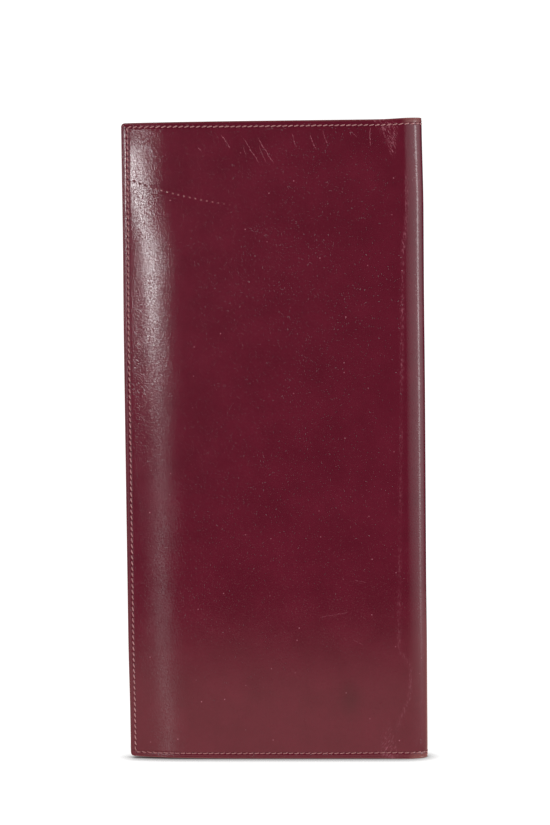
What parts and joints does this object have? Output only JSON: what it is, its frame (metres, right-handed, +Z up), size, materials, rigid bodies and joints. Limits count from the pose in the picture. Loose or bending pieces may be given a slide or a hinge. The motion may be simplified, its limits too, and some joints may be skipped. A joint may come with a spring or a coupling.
{
  "type": "leather document case",
  "caption": "Slim leather case that stands on edge: stiff stitched covers fold about a rounded spine, and each holds a flat pocket with a curved mouth.",
  "frame": {"origin": "middle of the base of the standing case, on its plane of symmetry", "axes": "+Z up along the spine; +X from the free edges towards the spine; +Y towards the front cover, so the back cover is on the -Y side"},
  "size_m": [0.1417, 0.0336, 0.305],
  "materials": {
    "outer_leather": "satin",
    "lining_leather": "matte",
    "greyboard": "matte",
    "thread": "satin"
  },
  "bodies": {
    "back_cover": {"back_skin": "outer_leather", "back_board": "greyboard", "back_lining": "lining_leather", "back_welt": "outer_leather", "back_pocket": "lining_leather", "back_edge_thread": "thread", "back_pocket_thread": "thread"},
    "spine": {"spine_skin": "outer_leather", "spine_stay": "greyboard", "spine_lining": "lining_leather", "spine_thread": "thread"},
    "front_cover": {"front_skin": "outer_leather", "front_board": "greyboard", "front_lining": "lining_leather", "front_welt": "outer_leather", "front_pocket": "lining_leather", "front_edge_thread": "thread", "front_pocket_thread": "thread"}
  },
  "joints": [
    {"name": "back_crease", "type": "hinge", "parent": "back_cover", "child": "spine", "pos_m": [0.06943, -0.00471, 0.1525], "axis": [0, 0, -1], "range_deg": [-4.2, 85]},
    {"name": "front_crease", "type": "hinge", "parent": "spine", "child": "front_cover", "pos_m": [0.06943, 0.00471, 0.1525], "axis": [0, 0, -1], "range_deg": [-4.2, 85]}
  ]
}
